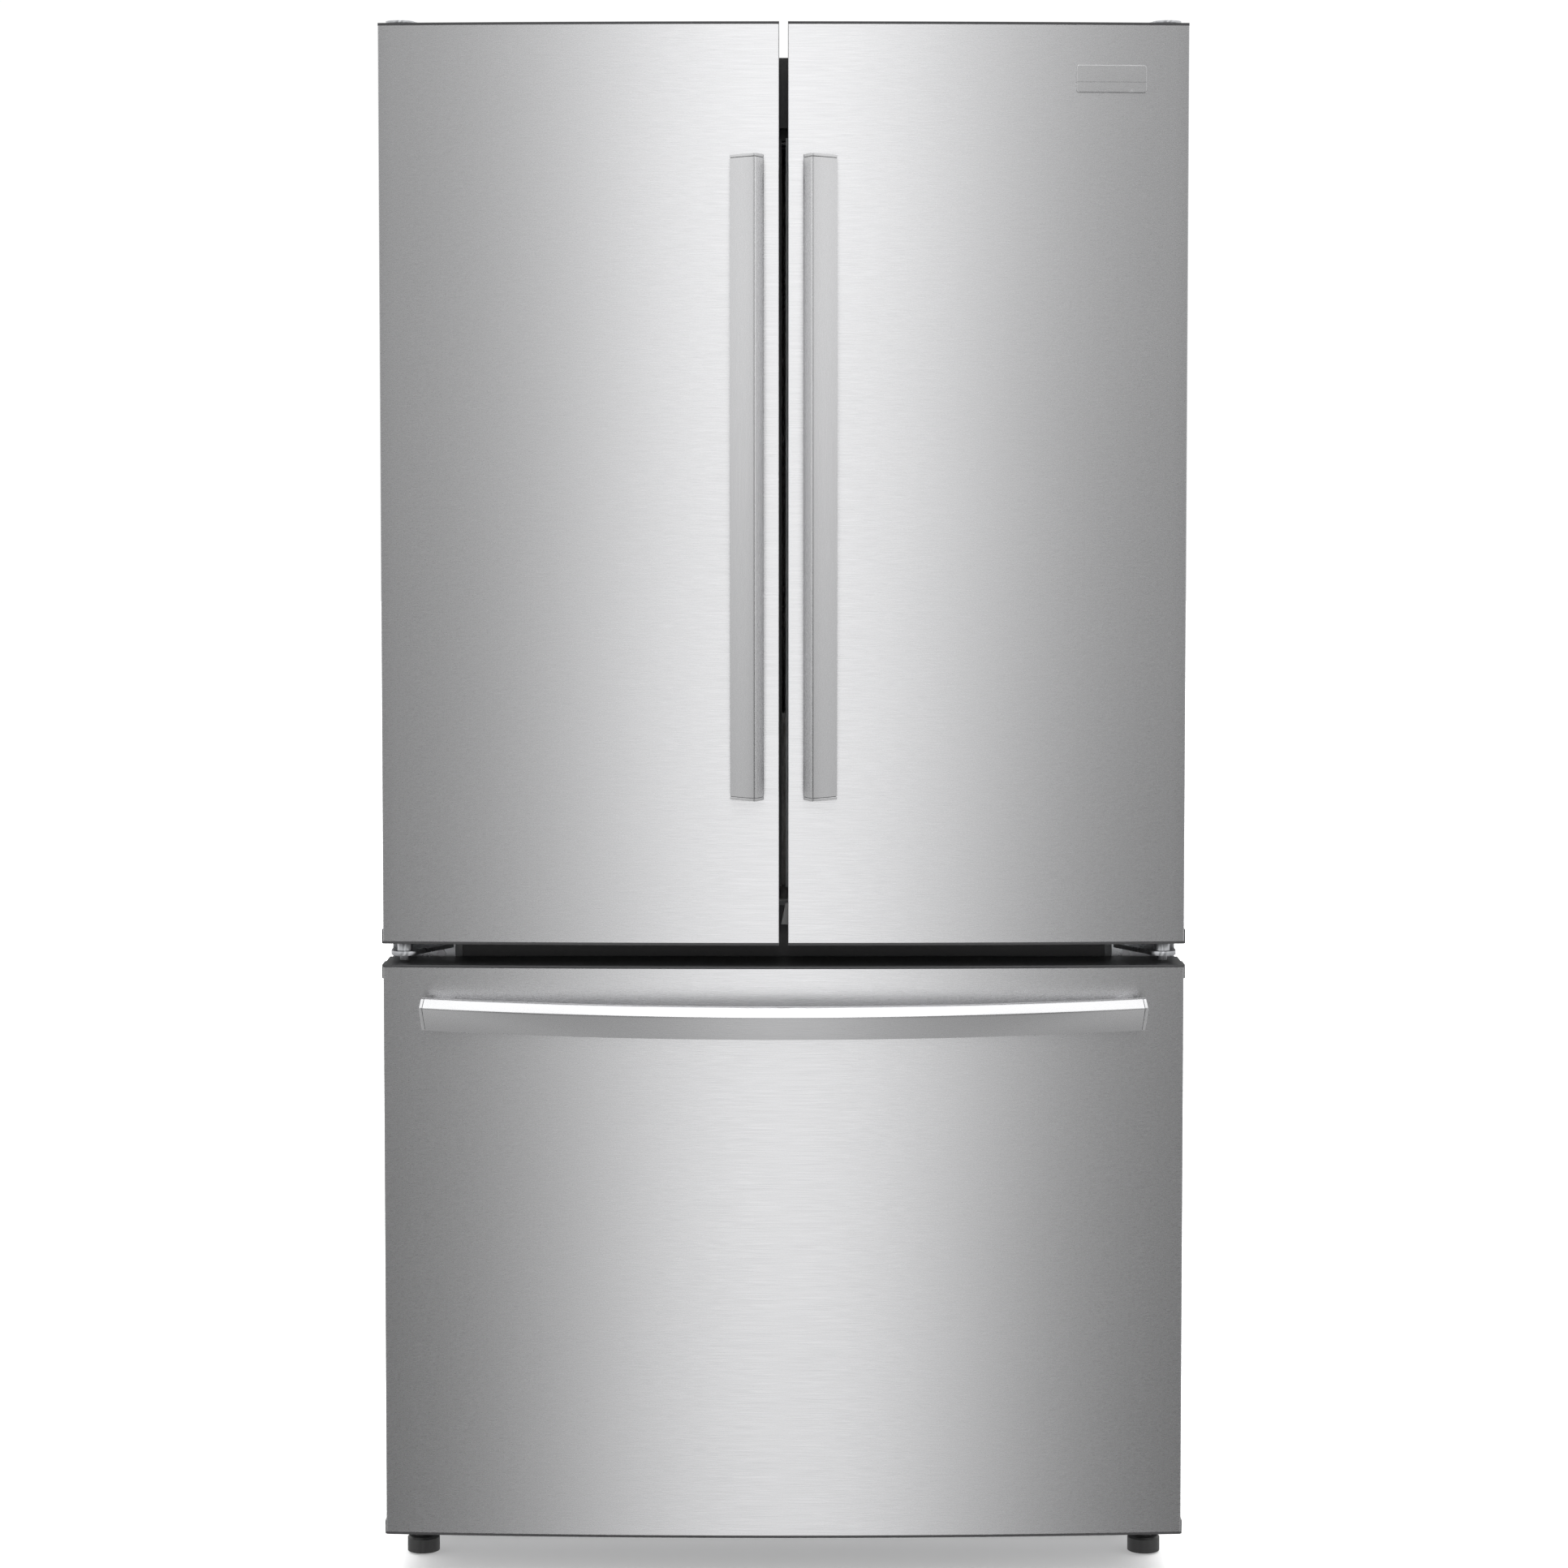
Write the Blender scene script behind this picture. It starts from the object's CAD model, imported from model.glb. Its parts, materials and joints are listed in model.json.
import json
import math

import bmesh
import bpy
from mathutils import Matrix, Vector


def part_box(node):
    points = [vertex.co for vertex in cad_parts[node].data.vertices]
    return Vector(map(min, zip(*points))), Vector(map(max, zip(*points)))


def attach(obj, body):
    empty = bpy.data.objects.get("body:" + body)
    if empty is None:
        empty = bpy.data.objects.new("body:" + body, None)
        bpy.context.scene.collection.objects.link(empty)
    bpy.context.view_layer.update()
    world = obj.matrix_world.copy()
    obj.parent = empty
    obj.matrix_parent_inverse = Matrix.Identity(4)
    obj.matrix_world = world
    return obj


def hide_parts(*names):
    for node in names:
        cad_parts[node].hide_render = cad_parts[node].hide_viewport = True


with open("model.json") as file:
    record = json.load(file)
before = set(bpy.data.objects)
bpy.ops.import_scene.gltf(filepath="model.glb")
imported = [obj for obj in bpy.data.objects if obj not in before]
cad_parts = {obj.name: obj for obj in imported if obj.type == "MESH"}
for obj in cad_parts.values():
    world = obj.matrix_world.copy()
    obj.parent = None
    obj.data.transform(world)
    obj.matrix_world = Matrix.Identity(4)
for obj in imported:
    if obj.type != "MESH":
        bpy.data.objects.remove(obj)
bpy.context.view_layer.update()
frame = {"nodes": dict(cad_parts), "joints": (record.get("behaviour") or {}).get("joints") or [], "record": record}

nodes = frame["nodes"]
record = frame["record"]
bodyOf = {n: body for body, names in record["behaviour"]["bodies"].items() for n in names}
slotOf = {part["node"]: part["material_slot"] for part in record["subparts"]}
colorOf = {m["slot"]: m["base_color"][:3] for m in record["materials"]}
print("frame loaded:", len(nodes), "nodes")

# places read off the frame: the drawer's skin gives how the front bows
faceLo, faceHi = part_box("drawer_skin")
edgeY = min(v.co.y for v in nodes["drawer_skin"].data.vertices if v.co.x > faceHi.x - 1e-4)
faceBow = edgeY - faceLo.y
faceRadius = ((faceHi.x - faceLo.x) ** 2 / 4 + faceBow ** 2) / (2 * faceBow)


def faceAt(x):
    return faceLo.y + faceRadius - math.sqrt(faceRadius ** 2 - x ** 2)


# materials

def startMaterial(name, color, roughness, metallic=0.0):
    mat = bpy.data.materials.new(name)
    mat.use_nodes = True
    tree = mat.node_tree
    bsdf = next(n for n in tree.nodes if n.type == "BSDF_PRINCIPLED")
    bsdf.inputs["Base Color"].default_value = (*color, 1)
    bsdf.inputs["Roughness"].default_value = roughness
    bsdf.inputs["Metallic"].default_value = metallic
    return mat, tree, bsdf


def objectVector(tree, scale=(1, 1, 1)):
    coord = tree.nodes.new("ShaderNodeTexCoord")
    mapping = tree.nodes.new("ShaderNodeMapping")
    mapping.inputs["Scale"].default_value = scale
    tree.links.new(coord.outputs["Object"], mapping.inputs["Vector"])
    return mapping.outputs["Vector"]


def noise(tree, vector, scale, detail=3.0, rough=0.5):
    tex = tree.nodes.new("ShaderNodeTexNoise")
    tex.inputs["Scale"].default_value = scale
    tex.inputs["Detail"].default_value = detail
    tex.inputs["Roughness"].default_value = rough
    tree.links.new(vector, tex.inputs["Vector"])
    return tex.outputs["Fac"]


def cells(tree, vector, scale, feature="F1"):
    tex = tree.nodes.new("ShaderNodeTexVoronoi")
    tex.feature = feature
    tex.inputs["Scale"].default_value = scale
    tree.links.new(vector, tex.inputs["Vector"])
    return tex.outputs["Color" if feature == "F1" else "Distance"]


def ramp(tree, value, stops):
    node = tree.nodes.new("ShaderNodeValToRGB")
    while len(node.color_ramp.elements) < len(stops):
        node.color_ramp.elements.new(0.5)
    for element, (place, color) in zip(node.color_ramp.elements, stops):
        element.position = place
        element.color = (*color, 1)
    tree.links.new(value, node.inputs["Fac"])
    return node.outputs["Color"]


def spread(tree, value, low, high, fromLow=0.3, fromHigh=0.7):
    node = tree.nodes.new("ShaderNodeMapRange")
    node.inputs["From Min"].default_value = fromLow
    node.inputs["From Max"].default_value = fromHigh
    node.inputs["To Min"].default_value = low
    node.inputs["To Max"].default_value = high
    tree.links.new(value, node.inputs["Value"])
    return node.outputs["Result"]


def multiplyColors(tree, one, other):
    node = tree.nodes.new("ShaderNodeMix")
    node.data_type = "RGBA"
    node.blend_type = "MULTIPLY"
    node.inputs["Factor"].default_value = 1.0
    tree.links.new(one, node.inputs["A"])
    tree.links.new(other, node.inputs["B"])
    return node.outputs["Result"]


def addBump(tree, bsdf, height, strength, distance):
    node = tree.nodes.new("ShaderNodeBump")
    node.inputs["Strength"].default_value = strength
    node.inputs["Distance"].default_value = distance
    tree.links.new(height, node.inputs["Height"])
    tree.links.new(node.outputs["Normal"], bsdf.inputs["Normal"])


def shades(color, low, high):
    return [tuple(min(1, c * k) for c in color) for k in (low, high)]


brushing = {
    "lineScale": 1500.0,     # brush lines per metre across the grain
    "lineLength": 9.0,       # and along it
    "contrast": (0.955, 1.03),
    "roughness": (0.25, 0.30),
    "anisotropy": 0.55,
}


def brushedSteel(name, color, grain, anisotropy=None, cfg=brushing):
    mat, tree, bsdf = startMaterial(name, color, 0.3, 1.0)
    across = [cfg["lineScale"]] * 3
    across["XYZ".index(grain)] = cfg["lineLength"]
    lines = noise(tree, objectVector(tree, tuple(across)), 1.0, 2.0, 0.6)
    finer = noise(tree, objectVector(tree, tuple(a * 2.3 for a in across)), 1.0, 1.0, 0.5)
    clouds = noise(tree, objectVector(tree), 2.2, 2.0, 0.5)
    dark, light = shades(color, *cfg["contrast"])
    streaks = ramp(tree, lines, [(0.25, dark), (0.75, light)])
    soft = ramp(tree, clouds, [(0.3, (0.97,) * 3), (0.7, (1.0,) * 3)])
    tree.links.new(multiplyColors(tree, streaks, soft), bsdf.inputs["Base Color"])
    tree.links.new(spread(tree, finer, *cfg["roughness"]), bsdf.inputs["Roughness"])
    addBump(tree, bsdf, lines, 0.012, 0.0002)
    tangent = tree.nodes.new("ShaderNodeTangent")
    tangent.direction_type = "RADIAL"
    tangent.axis = "Z"
    tree.links.new(tangent.outputs["Tangent"], bsdf.inputs["Tangent"])
    bsdf.inputs["Anisotropic"].default_value = cfg["anisotropy"] if anisotropy is None else anisotropy
    bsdf.inputs["Anisotropic Rotation"].default_value = 0.25 if grain == "X" else 0.0
    return mat


def mouldedPlastic(name, color, roughness=0.45, grain=900.0, bump=0.12, speckle=(0.93, 1.05)):
    mat, tree, bsdf = startMaterial(name, color, roughness)
    vector = objectVector(tree)
    fine = noise(tree, vector, grain, 3.0, 0.6)
    slow = noise(tree, vector, 6.0, 2.0, 0.5)
    dark, light = shades(color, *speckle)
    tree.links.new(ramp(tree, slow, [(0.3, dark), (0.7, light)]), bsdf.inputs["Base Color"])
    tree.links.new(spread(tree, fine, roughness - 0.05, roughness + 0.07), bsdf.inputs["Roughness"])
    addBump(tree, bsdf, fine, bump, 0.0003)
    return mat


def pebblePaint(name, color):
    mat, tree, bsdf = startMaterial(name, color, 0.42, 0.0)
    vector = objectVector(tree)
    pebbles = cells(tree, vector, 520.0, "SMOOTH_F1")
    slow = noise(tree, vector, 3.0, 2.0, 0.5)
    dark, light = shades(color, 0.94, 1.05)
    tree.links.new(ramp(tree, slow, [(0.3, dark), (0.7, light)]), bsdf.inputs["Base Color"])
    tree.links.new(spread(tree, noise(tree, vector, 240.0), 0.36, 0.5), bsdf.inputs["Roughness"])
    addBump(tree, bsdf, pebbles, 0.35, 0.0006)
    bsdf.inputs["Coat Weight"].default_value = 0.15
    return mat


def galvanisedSheet(name, color):
    mat, tree, bsdf = startMaterial(name, color, 0.42, 0.9)
    vector = objectVector(tree)
    spangle = cells(tree, vector, 70.0)
    fine = noise(tree, vector, 420.0, 2.0, 0.5)
    dark, light = shades(color, 0.82, 1.08)
    tree.links.new(ramp(tree, spangle, [(0.1, dark), (0.9, light)]), bsdf.inputs["Base Color"])
    tree.links.new(spread(tree, spangle, 0.32, 0.52, 0.0, 1.0), bsdf.inputs["Roughness"])
    addBump(tree, bsdf, fine, 0.05, 0.0003)
    return mat


def platedSteel(name, color, roughness=0.3):
    mat, tree, bsdf = startMaterial(name, color, roughness, 1.0)
    vector = objectVector(tree)
    stains = noise(tree, vector, 35.0, 4.0, 0.6)
    fine = noise(tree, vector, 600.0, 2.0, 0.5)
    dark, light = shades(color, 0.84, 1.08)
    tree.links.new(ramp(tree, stains, [(0.3, dark), (0.7, light)]), bsdf.inputs["Base Color"])
    tree.links.new(spread(tree, stains, roughness + 0.12, roughness - 0.06), bsdf.inputs["Roughness"])
    addBump(tree, bsdf, fine, 0.06, 0.0002)
    return mat


def softRubber(name, color, roughness=0.7):
    mat, tree, bsdf = startMaterial(name, color, roughness)
    vector = objectVector(tree)
    fine = noise(tree, vector, 700.0, 3.0, 0.6)
    dust = noise(tree, vector, 14.0, 4.0, 0.6)
    dark, light = shades(color, 0.88, 1.14)
    tree.links.new(ramp(tree, dust, [(0.3, dark), (0.75, light)]), bsdf.inputs["Base Color"])
    tree.links.new(spread(tree, fine, roughness - 0.1, roughness + 0.1), bsdf.inputs["Roughness"])
    addBump(tree, bsdf, fine, 0.15, 0.0003)
    return mat


def foamMaterial(name, color):
    mat, tree, bsdf = startMaterial(name, color, 0.85)
    vector = objectVector(tree)
    pores = cells(tree, vector, 260.0, "SMOOTH_F1")
    dark, light = shades(color, 0.8, 1.06)
    slow = noise(tree, vector, 9.0, 4.0, 0.6)
    tree.links.new(ramp(tree, slow, [(0.3, dark), (0.7, light)]), bsdf.inputs["Base Color"])
    addBump(tree, bsdf, pores, 0.6, 0.001)
    return mat


def clearMaterial(name, color, roughness=0.06, frost=0.0, transmission=0.88):
    mat, tree, bsdf = startMaterial(name, color, roughness)
    vector = objectVector(tree)
    haze = noise(tree, vector, 12.0, 3.0, 0.5)
    dark, light = shades(color, 0.95, 1.03)
    tree.links.new(ramp(tree, haze, [(0.3, dark), (0.7, light)]), bsdf.inputs["Base Color"])
    tree.links.new(spread(tree, haze, roughness, roughness + 0.05 + frost), bsdf.inputs["Roughness"])
    bsdf.inputs["Transmission Weight"].default_value = transmission
    bsdf.inputs["IOR"].default_value = 1.15
    return mat


makers = {
    "stainless_face": lambda n, c: brushedSteel(n, c, "X"),
    "stainless_handle": lambda n, c: brushedSteel(n, c, "Z", 0.0),
    "dark_plastic": lambda n, c: mouldedPlastic(n, [k * 0.4 for k in c], 0.42),
    "white_plastic": lambda n, c: mouldedPlastic(n, [k * 0.78 for k in c], 0.3, 500.0, 0.05, (0.97, 1.0)),
    "clear_plastic": lambda n, c: clearMaterial(n, c, 0.07),
    "shelf_glass": lambda n, c: clearMaterial(n, c, 0.02),
    "case_paint": lambda n, c: pebblePaint(n, [k * 0.5 for k in c]),
    "galvanised": galvanisedSheet,
    "insulation": foamMaterial,
    "gasket_rubber": softRubber,
    "zinc_plate": platedSteel,
    "bolt_steel": lambda n, c: platedSteel(n, c, 0.34),
    "fin_aluminium": lambda n, c: platedSteel(n, c, 0.36),
    "condenser_paint": lambda n, c: mouldedPlastic(n, c, 0.5),
    "fan_plastic": lambda n, c: mouldedPlastic(n, c, 0.4),
    "lamp_lens": lambda n, c: clearMaterial(n, c, 0.3, 0.1, 0.35),
    "slider_plastic": lambda n, c: mouldedPlastic(n, c, 0.25),
    "plate_metal": lambda n, c: brushedSteel(n, [k * 0.86 for k in c], "X"),
    "foot_plastic": lambda n, c: mouldedPlastic(n, c, 0.42, 500.0, 0.2),
    "tyre_rubber": softRubber,
    "compressor_shell": lambda n, c: mouldedPlastic(n, c, 0.22, 200.0, 0.1),
}
materials = {slot: makers[slot](slot, colorOf[slot]) for slot in makers}
materials["handle_bar_level"] = brushedSteel("handle_bar_level", colorOf["stainless_handle"], "X")
print("materials:", len(materials))

# carried-over nodes: each takes its slot's material, and its sharp edges are softened

softened = {
    0.0040: ("lower_basket", "upper_basket", "left_crisper", "right_crisper"),
    0.0015: ("crisper_frame", "shelf_frames", "control_panel", "hinge_covers", "air_duct_cover",
             "condenser_fan_motor", "drain_pan", "mullion"),
    0.0006: ("door_hinges", "left_door_end_caps", "right_door_end_caps", "drawer_end_caps", "base_frame",
             "shelf_ladders", "drawer_slides_outer", "drawer_slides_middle", "drawer_slides_inner",
             "hinge_bolts", "shelf_glass", "machine_cover", "evaporator_cover",
             "left_humidity_slider", "right_humidity_slider"),
}


def softenEdges(obj, width):
    weld = obj.modifiers.new("weld", "WELD")
    weld.merge_threshold = 1e-5
    bevel = obj.modifiers.new("bevel", "BEVEL")
    bevel.width = width
    bevel.segments = 2 if width < 0.001 else 3
    bevel.limit_method = "ANGLE"
    bevel.angle_limit = math.radians(40)
    bevel.harden_normals = True
    bevel.use_clamp_overlap = True


for name, obj in nodes.items():
    obj.data.materials.clear()
    obj.data.materials.append(materials[slotOf[name]])
for width, names in softened.items():
    for name in names:
        softenEdges(nodes[name], width)
print("carried-over nodes finished")


# new pieces

def finishPiece(bm, name, material, body, replaced=(), smoothAngle=35, weighted=True):
    bmesh.ops.remove_doubles(bm, verts=bm.verts, dist=1e-6)
    bmesh.ops.recalc_face_normals(bm, faces=bm.faces)
    mesh = bpy.data.meshes.new(name)
    bm.to_mesh(mesh)
    bm.free()
    mesh.shade_smooth()
    mesh.set_sharp_from_angle(angle=math.radians(smoothAngle))
    obj = bpy.data.objects.new(name, mesh)
    bpy.context.scene.collection.objects.link(obj)
    mesh.materials.append(materials[material])
    if weighted:
        obj.modifiers.new("even_normals", "WEIGHTED_NORMAL").keep_sharp = True
    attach(obj, body)
    if replaced:
        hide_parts(*replaced)
    return obj


def boxMesh(lo, hi):
    lo, hi = Vector(lo), Vector(hi)
    bm = bmesh.new()
    bmesh.ops.create_cube(bm, size=1.0)
    bmesh.ops.scale(bm, vec=hi - lo, verts=bm.verts)
    bmesh.ops.translate(bm, vec=(hi + lo) / 2, verts=bm.verts)
    return bm


def cutThrough(bm, place, normal):
    bmesh.ops.bisect_plane(bm, geom=bm.verts[:] + bm.edges[:] + bm.faces[:], plane_co=place, plane_no=normal)


def roundEdges(bm, edges, radius, segments):
    bmesh.ops.bevel(bm, geom=edges, offset=radius, offset_type="OFFSET", affect="EDGES",
                    segments=segments, profile=0.5, material=-1, clamp_overlap=True)


frontSkin = {
    "columns": 28,           # facets across the bowed face
    "edgeRadius": 0.0009,    # rounding of the folded vertical edges
    "edgeSegments": 3,
    "sheet": 0.0012,
}


def makeFrontSkin(node, cfg=frontSkin):
    # a folded sheet, open at its top and bottom, with returns that stop at the liner
    lo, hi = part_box(node)
    bm = boxMesh(lo, hi)
    across = [e for e in bm.edges if abs(e.verts[0].co.x - e.verts[1].co.x) > 1e-4]
    bmesh.ops.subdivide_edges(bm, edges=across, cuts=cfg["columns"] - 1, use_grid_fill=True)
    for v in bm.verts:
        if v.co.y < (lo.y + hi.y) / 2:
            v.co.y = faceAt(v.co.x)
    corners = [e for e in bm.edges
               if abs(e.verts[0].co.z - e.verts[1].co.z) > 1e-4
               and min(abs(e.verts[0].co.x - lo.x), abs(e.verts[0].co.x - hi.x)) < 1e-5
               and e.verts[0].co.y < (lo.y + hi.y) / 2]
    roundEdges(bm, corners, cfg["edgeRadius"], cfg["edgeSegments"])
    low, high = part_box(node.replace("_skin", "_liner"))
    for place, normal in ((low, (1, 0, 0)), (high, (1, 0, 0)), (low, (0, 0, 1)), (high, (0, 0, 1))):
        rear = [f for f in bm.faces if f.calc_center_median().y > hi.y - 1e-5]
        around = list({e for f in rear for e in f.edges}) + list({v for f in rear for v in f.verts})
        bmesh.ops.bisect_plane(bm, geom=rear + around, plane_co=place, plane_no=normal)
    gone = []
    for face in bm.faces:
        c = face.calc_center_median()
        inLiner = c.y > hi.y - 1e-5 and low.x < c.x < high.x and low.z < c.z < high.z
        if inLiner or c.z < lo.z + 1e-5 or c.z > hi.z - 1e-5:
            gone.append(face)
    bmesh.ops.delete(bm, geom=gone, context="FACES")
    piece = finishPiece(bm, node.replace("_skin", "_front"), "stainless_face", bodyOf[node], [node],
                        weighted=False)
    sheet = piece.modifiers.new("sheet", "SOLIDIFY")
    sheet.thickness = cfg["sheet"]
    sheet.offset = -1
    sheet.use_even_offset = True
    piece.modifiers.new("even_normals", "WEIGHTED_NORMAL").keep_sharp = True


for node in ("left_door_skin", "right_door_skin", "drawer_skin"):
    makeFrontSkin(node)
print("steel fronts made")


def turnMesh(bm, degrees, axis, centre=(0, 0, 0)):
    bmesh.ops.rotate(bm, cent=centre, matrix=Matrix.Rotation(math.radians(degrees), 3, axis), verts=bm.verts)


# outlines and stacks: a rounded flat outline is raised in steps of (inwards, up)

def outline(lo, hi, radius, segments=5):
    bm = bmesh.new()
    bmesh.ops.create_grid(bm, x_segments=1, y_segments=1, size=0.5)
    bmesh.ops.scale(bm, vec=(hi[0] - lo[0], hi[1] - lo[1], 1), verts=bm.verts)
    bmesh.ops.translate(bm, vec=((hi[0] + lo[0]) / 2, (hi[1] + lo[1]) / 2, 0), verts=bm.verts)
    if radius:
        bmesh.ops.bevel(bm, geom=list(bm.verts), offset=radius, affect="VERTICES", segments=segments,
                        profile=0.5, material=-1, clamp_overlap=True)
    return bm


def raiseSteps(bm, face, steps):
    for inwards, up in steps:
        if inwards:
            bmesh.ops.inset_region(bm, faces=[face], thickness=inwards, depth=up, use_even_offset=True)
        else:
            lift = face.normal * up
            face = bmesh.ops.extrude_discrete_faces(bm, faces=[face])["faces"][0]
            bmesh.ops.translate(bm, vec=lift, verts=face.verts)
    return face


def closeHoles(bm):
    bmesh.ops.holes_fill(bm, edges=[e for e in bm.edges if e.is_boundary], sides=0)


def stackPiece(lo, hi, level, facing, radius, steps, ring=False, segments=5):
    bm = outline(lo, hi, radius, segments)
    last = raiseSteps(bm, bm.faces[:][0], steps)
    if ring:
        bmesh.ops.delete(bm, geom=[last], context="FACES_ONLY")
        bmesh.ops.bridge_loops(bm, edges=[e for e in bm.edges if e.is_boundary])
    else:
        closeHoles(bm)
    if facing == "up":
        bmesh.ops.translate(bm, vec=(0, 0, level), verts=bm.verts)
        return bm
    if facing == "rear":
        bmesh.ops.scale(bm, vec=(1, 1, -1), verts=bm.verts)
    turnMesh(bm, 90, "X")
    bmesh.ops.translate(bm, vec=(0, level, 0), verts=bm.verts)
    return bm


def joinMeshes(parts):
    whole = bmesh.new()
    for bm in parts:
        mesh = bpy.data.meshes.new("part")
        bm.to_mesh(mesh)
        bm.free()
        whole.from_mesh(mesh)
        bpy.data.meshes.remove(mesh)
    return whole


def revolve(points, origin, axis, turns=48, endsShut=True):
    # points are (radius, along the axis), and the axis is X or Z
    bm = bmesh.new()
    verts = [bm.verts.new((r, 0, along)) for r, along in points]
    for one, other in zip(verts, verts[1:]):
        bm.edges.new((one, other))
    bmesh.ops.spin(bm, geom=bm.verts[:] + bm.edges[:], cent=(0, 0, 0), axis=(0, 0, 1), dvec=(0, 0, 0),
                   angle=math.tau, steps=turns, use_merge=True, use_duplicate=False)
    bmesh.ops.remove_doubles(bm, verts=bm.verts, dist=1e-6)
    if endsShut:
        closeHoles(bm)
    if axis == "X":
        turnMesh(bm, 90, "Y")
    bmesh.ops.translate(bm, vec=origin, verts=bm.verts)
    return bm


# handles: one section, swept along the bow

barHandle = {
    "doorLength": 0.718,     # chord of the rear edge
    "doorBow": 0.022,
    "drawerLength": 0.816,
    "drawerBow": 0.039,
    "drawerLean": 7,         # degrees, its front edge downwards
    "width": 0.038,
    "depth": 0.020,
    "ridge": 0.26,           # the ridge's place, as a share of the width from the middle
    "crownSteps": 9,         # facets of the wide crowned side
    "crownDrop": 0.56,       # how far its edge lies behind the ridge, as a share of the depth
    "crownBend": 0.25,       # 0 for a flat side, 1 for a fully bent one
    "rounding": 0.0024,      # of the long edges
    "ridgeRounding": 0.0014,
    "steps": 64,
    "capLength": 0.0032,     # end caps
    "capNeck": 0.0007,
    "capRounding": 0.0009,
    "postIn": 0.020,         # the posts' middles, from the bar's ends
}


def barSection(cfg, flip):
    # across is X, outwards is -Y, with the ridge towards +X unless flipped
    w = cfg["width"] * flip
    d = -cfg["depth"]
    ridge, crown = cfg["ridge"], cfg["crownSteps"]
    corners = [(0.50, 0.52), (0.47, 0.06), (0.38, 0.0), (-0.38, 0.0), (-0.47, 0.05)]
    for i in range(crown):
        share = 1 - i / crown
        fall = share * (1 - cfg["crownBend"] * (1 - share))
        corners.append((ridge - (ridge + 0.5) * share, 1 - cfg["crownDrop"] * fall))
    bm = bmesh.new()
    verts = [bm.verts.new((u * w, v * d, 0)) for u, v in corners + [(ridge, 1.0)]]
    bm.faces.new(verts)
    bmesh.ops.bevel(bm, geom=verts[-1:], offset=cfg["ridgeRounding"], affect="VERTICES", segments=2,
                    profile=0.5, material=-1)
    soft = [v for v in bm.verts if v.co.x / w > 0.45 or v.co.y > 0.4 * d]
    bmesh.ops.bevel(bm, geom=soft, offset=cfg["rounding"], affect="VERTICES", segments=4,
                    profile=0.5, material=-1, clamp_overlap=True)
    bmesh.ops.delete(bm, geom=bm.faces[:], context="FACES_ONLY")
    return bm


def sweptBar(cfg, length, bow, start, end, steps, flip):
    # lies along Z with the middle of its rear at the origin; start and end are shares of the half sweep
    radius = (length ** 2 / 4 + bow ** 2) / (2 * bow)
    half = math.asin(length / 2 / radius)
    bm = barSection(cfg, flip)
    centre = (0, radius, 0)
    turnMesh(bm, math.degrees(start * half), "X", centre)
    bmesh.ops.spin(bm, geom=bm.verts[:] + bm.edges[:], cent=centre, axis=(1, 0, 0), dvec=(0, 0, 0),
                   angle=(end - start) * half, steps=steps, use_duplicate=False)
    closeHoles(bm)
    return bm


def barSet(cfg, length, bow, flip):
    share = cfg["capLength"] / (length / 2)
    neck = cfg["capNeck"] / (length / 2)
    bar = sweptBar(cfg, length, bow, -1 + share + neck, 1 - share - neck, cfg["steps"], flip)
    caps = []
    for start, end in ((-1, -1 + share), (1 - share, 1)):
        cap = sweptBar(cfg, length, bow, start, end, 1, flip)
        rims = [e for e in cap.edges if len(e.link_faces) == 2
                and any(len(f.verts) > 8 for f in e.link_faces)]
        roundEdges(cap, rims, cfg["capRounding"], 3)
        caps.append(cap)
    necks = []
    for start, end in ((-1 + share / 2, -1 + 2 * share), (1 - 2 * share, 1 - share / 2)):
        inner = sweptBar(cfg, length, bow, start, end, 1, flip)
        bmesh.ops.scale(inner, vec=(0.95, 1, 1), verts=inner.verts)
        bmesh.ops.translate(inner, vec=(0, 0.0002, 0), verts=inner.verts)
        necks.append(inner)
    return bar, joinMeshes(caps), joinMeshes(necks)


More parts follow.
